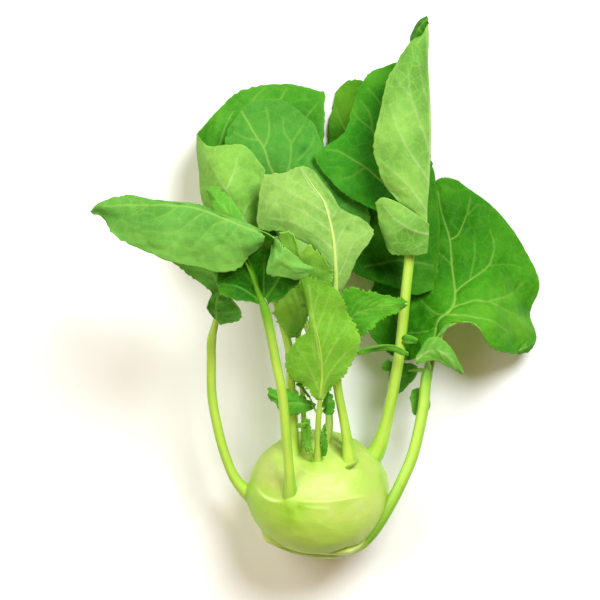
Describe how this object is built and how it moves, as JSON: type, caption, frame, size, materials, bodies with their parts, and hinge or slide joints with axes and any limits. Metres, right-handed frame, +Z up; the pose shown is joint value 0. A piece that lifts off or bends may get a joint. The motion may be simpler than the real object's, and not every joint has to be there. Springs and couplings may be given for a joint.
{
  "type": "kohlrabi with leaves",
  "caption": "Kohlrabi as picked, lying on a surface: a pale green swollen stem with leaf scars and a cut root end, long curved stalks and broad waved leaves.",
  "frame": {"origin": "middle of the small flat spot under the bulb, on the surface that the plant lies on", "axes": "+Z up from the surface, +Y from the bulb towards the leaf tips, +X towards the broad leaf that touches the surface"},
  "size_m": [0.2211, 0.2668, 0.1171],
  "materials": {
    "bulb_skin": "smooth waxy skin, soft sheen",
    "stalk_skin": "smooth fleshy stalk, soft sheen",
    "leaf_dark": "upper face of a leaf, matt with a faint bloom",
    "leaf_pale": "pale underside of a leaf, matt",
    "leaf_young": "young toothed leaf, matt"
  },
  "bodies": {
    "root": {"bulb": "bulb_skin", "front_left_stalk": "stalk_skin", "front_left_blade": "leaf_dark", "left_stalk": "stalk_skin", "left_blade": "leaf_dark", "upper_left_stalk": "stalk_skin", "upper_left_blade": "leaf_dark", "upper_middle_stalk": "stalk_skin", "upper_middle_blade": "leaf_dark", "middle_stalk": "stalk_skin", "middle_blade": "leaf_pale", "small_back_stalk": "stalk_skin", "small_back_blade": "leaf_young", "tall_right_stalk": "stalk_skin", "tall_right_blade": "leaf_pale", "low_right_stalk": "stalk_skin", "low_right_blade": "leaf_dark", "broad_right_stalk": "stalk_skin", "broad_right_blade": "leaf_dark", "small_front_stalk": "stalk_skin", "small_front_blade": "leaf_young", "small_right_stalk": "stalk_skin", "small_right_blade": "leaf_young", "curled_lobe": "leaf_young", "crown_lobe": "leaf_young", "crown_leaflet": "leaf_young", "upper_leaflet": "leaf_young", "ear_lobe": "leaf_young", "lower_lobe": "leaf_dark", "stalk_leaflet": "leaf_dark"}
  },
  "joints": []
}
